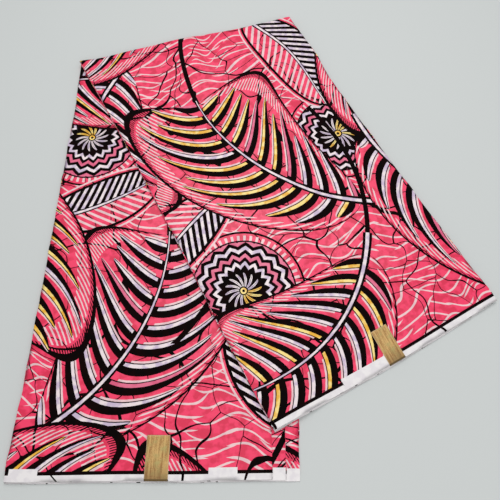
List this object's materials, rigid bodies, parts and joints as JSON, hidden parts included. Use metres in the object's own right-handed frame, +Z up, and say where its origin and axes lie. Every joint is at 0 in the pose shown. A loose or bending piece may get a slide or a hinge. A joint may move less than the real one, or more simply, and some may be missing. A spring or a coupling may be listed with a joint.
{
  "type": "folded length of wax print fabric",
  "caption": "Printed cotton cloth folded into a flat bundle and turned back on a slant, with a plain paper label on each end.",
  "frame": {"origin": "centre of the footprint, on the surface that the cloth lies on", "axes": "+Z up from that surface, +Y from the lower leaf's selvedge end towards the cross fold, +X to the right, the way the upper leaf swings out"},
  "size_m": [0.5642, 0.6674, 0.0105],
  "materials": {
    "printed_cotton": "wax printed plain weave cotton, calendered to a low sheen",
    "label_paper": "thin kraft paper label with a dull gold face, nothing printed on it"
  },
  "bodies": {
    "root": {"outer_panels": "printed_cotton", "hidden_panels": "printed_cotton", "inner_panels": "printed_cotton", "label_lower": "label_paper", "label_upper": "label_paper"}
  },
  "joints": []
}
